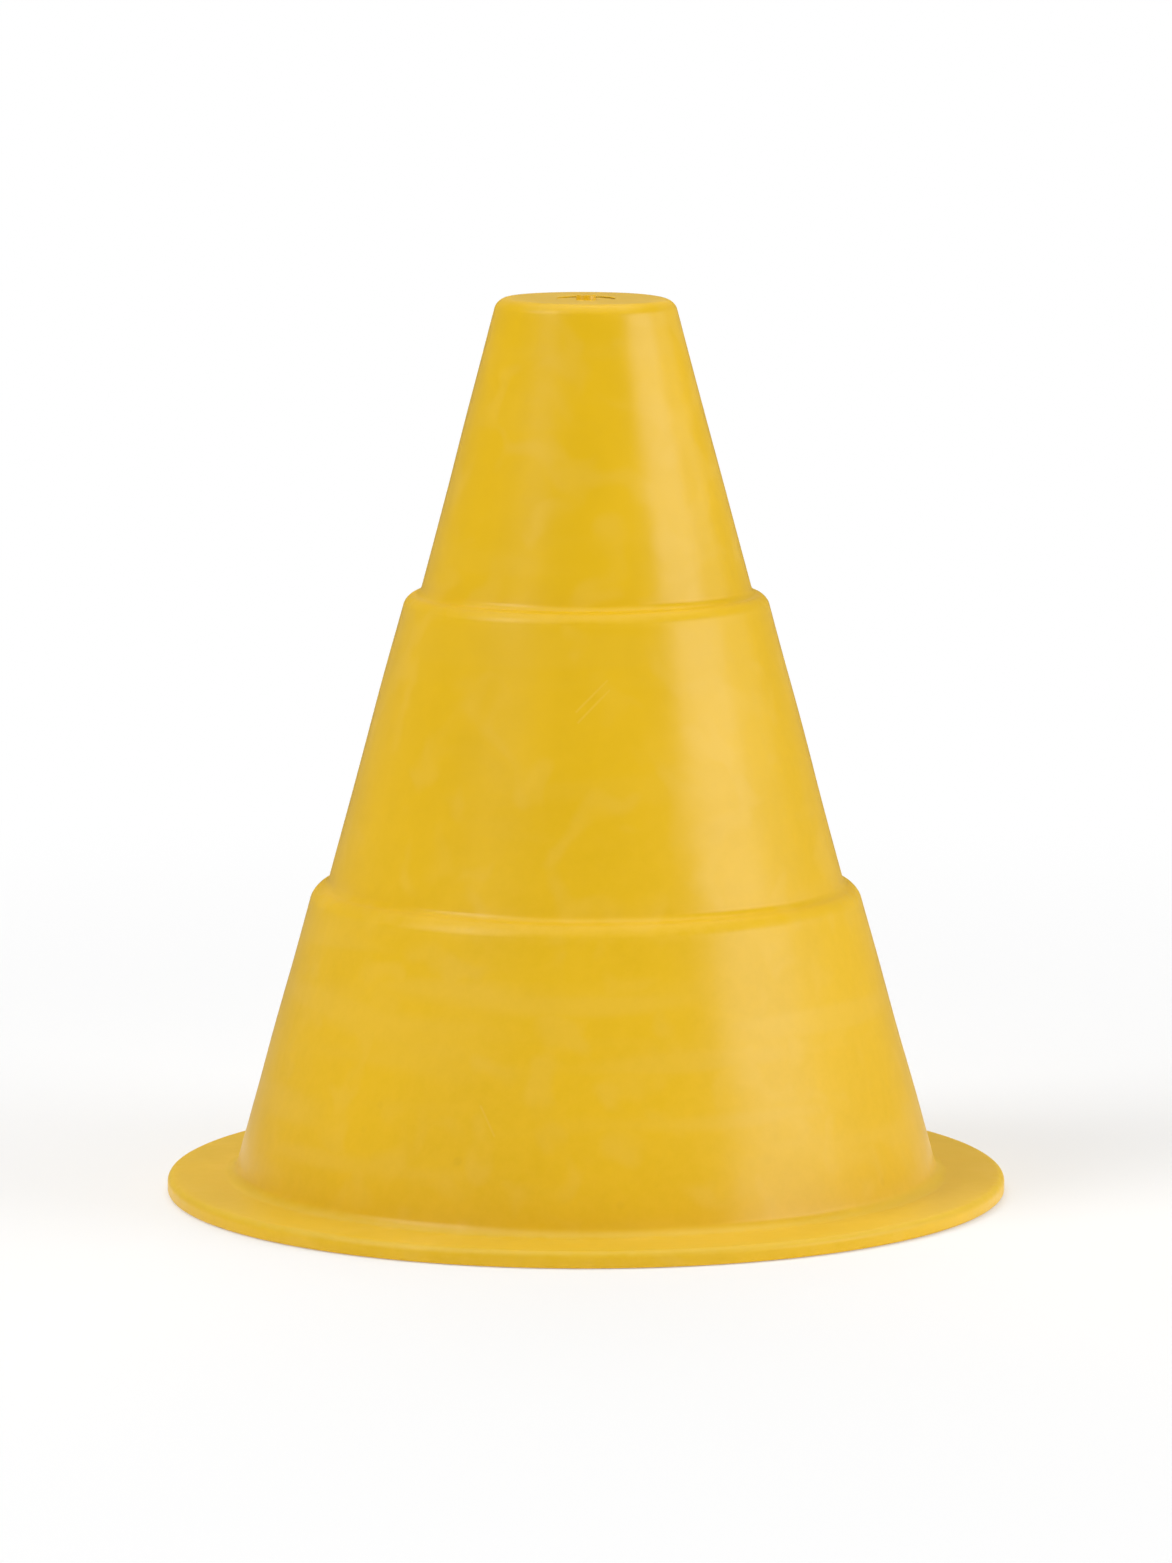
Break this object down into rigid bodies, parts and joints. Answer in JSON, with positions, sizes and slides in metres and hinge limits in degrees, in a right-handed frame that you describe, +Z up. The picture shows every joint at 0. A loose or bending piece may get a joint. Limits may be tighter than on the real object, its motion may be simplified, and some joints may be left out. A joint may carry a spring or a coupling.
{
  "type": "training cone",
  "caption": "Small stepped training cone with a flat round brim, tapering tiers and a closed flat crown, moulded in one hollow piece that is open underneath.",
  "frame": {"origin": "centre of the brim's underside, on the ground plane", "axes": "+Z up along the cone's axis, from the brim to the crown; the cone is round, so +X and +Y are any two level directions"},
  "size_m": [0.141, 0.141, 0.1506],
  "materials": {
    "yellow_polyethylene": "satin"
  },
  "bodies": {
    "root": {"cone_shell": "yellow_polyethylene"}
  },
  "joints": []
}
